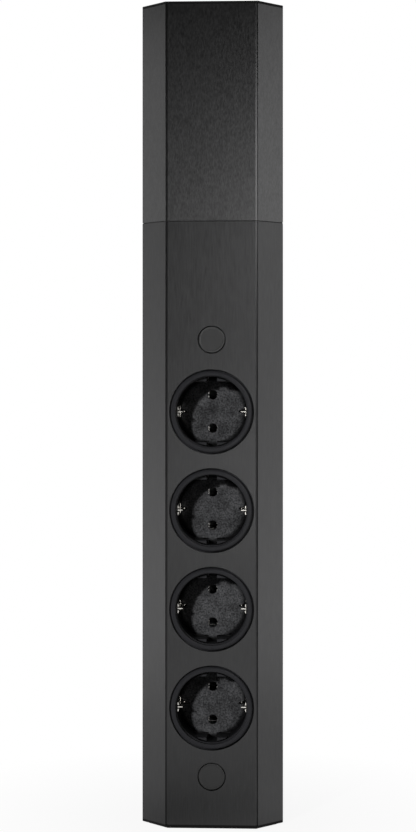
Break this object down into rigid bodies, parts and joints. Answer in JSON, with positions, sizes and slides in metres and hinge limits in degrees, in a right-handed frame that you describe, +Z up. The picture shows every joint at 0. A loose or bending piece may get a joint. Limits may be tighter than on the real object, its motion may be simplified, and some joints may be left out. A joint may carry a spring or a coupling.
{
  "type": "corner socket tower",
  "caption": "Slim faceted corner tower for a worktop, with a column of round earthed sockets and a telescopic cable section on top.",
  "frame": {"origin": "centre of the box round the tower, at the underside of its foot", "axes": "+Z up along the tower, -Y out of the flat front with the sockets, +X to the right as seen from the front"},
  "size_m": [0.08, 0.047, 0.464],
  "materials": {
    "black_anodised": "black anodised, brushed lengthwise",
    "inner_aluminium": "plain drawn aluminium",
    "end_cap_plastic": "matte black, fine grain",
    "cap_plastic": "satin dark grey",
    "socket_plastic": "satin black, fine grain",
    "inner_plastic": "matte black",
    "terminal_plastic": "natural white",
    "black_rubber": "matte black",
    "contact_brass": "bare brass strip",
    "nickel_contact": "nickel-plated spring strip",
    "screw_steel": "zinc-plated"
  },
  "bodies": {
    "lower_casing": {"lower_front_shell": "black_anodised", "lower_rear_cover": "black_anodised", "guide_profile": "inner_aluminium", "guide_screws": "screw_steel", "glide_pads": "inner_plastic", "bottom_end_cap": "end_cap_plastic", "bottom_cap_screws": "screw_steel", "base_pad": "black_rubber", "fixing_sleeve_lower": "inner_plastic", "fixing_sleeve_upper": "inner_plastic", "socket_screws": "screw_steel", "live_bar": "contact_brass", "neutral_bar": "contact_brass", "earth_bar": "contact_brass", "terminal_carrier": "inner_plastic", "terminal_block": "terminal_plastic", "terminal_screws": "screw_steel", "cable_clamp": "inner_plastic", "clamp_screws": "screw_steel", "socket_1_collar": "socket_plastic", "socket_1_floor": "socket_plastic", "socket_1_base": "inner_plastic", "socket_1_contacts": "contact_brass", "socket_1_earth_bow": "nickel_contact", "socket_2_collar": "socket_plastic", "socket_2_floor": "socket_plastic", "socket_2_base": "inner_plastic", "socket_2_contacts": "contact_brass", "socket_2_earth_bow": "nickel_contact", "socket_3_collar": "socket_plastic", "socket_3_floor": "socket_plastic", "socket_3_base": "inner_plastic", "socket_3_contacts": "contact_brass", "socket_3_earth_bow": "nickel_contact", "socket_4_collar": "socket_plastic", "socket_4_floor": "socket_plastic", "socket_4_base": "inner_plastic", "socket_4_contacts": "contact_brass", "socket_4_earth_bow": "nickel_contact"},
    "upper_sleeve": {"upper_front_shell": "black_anodised", "upper_rear_cover": "black_anodised", "stop_bar": "inner_plastic", "top_end_cap": "end_cap_plastic", "top_cap_screws": "screw_steel", "cable_grommet": "black_rubber"},
    "cap_lower": {"screw_cap_lower": "cap_plastic"},
    "cap_upper": {"screw_cap_upper": "cap_plastic"}
  },
  "joints": [
    {"name": "upper_sleeve_slide", "type": "slide", "parent": "lower_casing", "child": "upper_sleeve", "axis": [0, 0, 1], "range_m": [0, 0.08]},
    {"name": "cap_lower_pull", "type": "slide", "parent": "lower_casing", "child": "cap_lower", "axis": [0, -1, 0], "range_m": [0, 0.012]},
    {"name": "cap_upper_pull", "type": "slide", "parent": "lower_casing", "child": "cap_upper", "axis": [0, -1, 0], "range_m": [0, 0.012]}
  ]
}
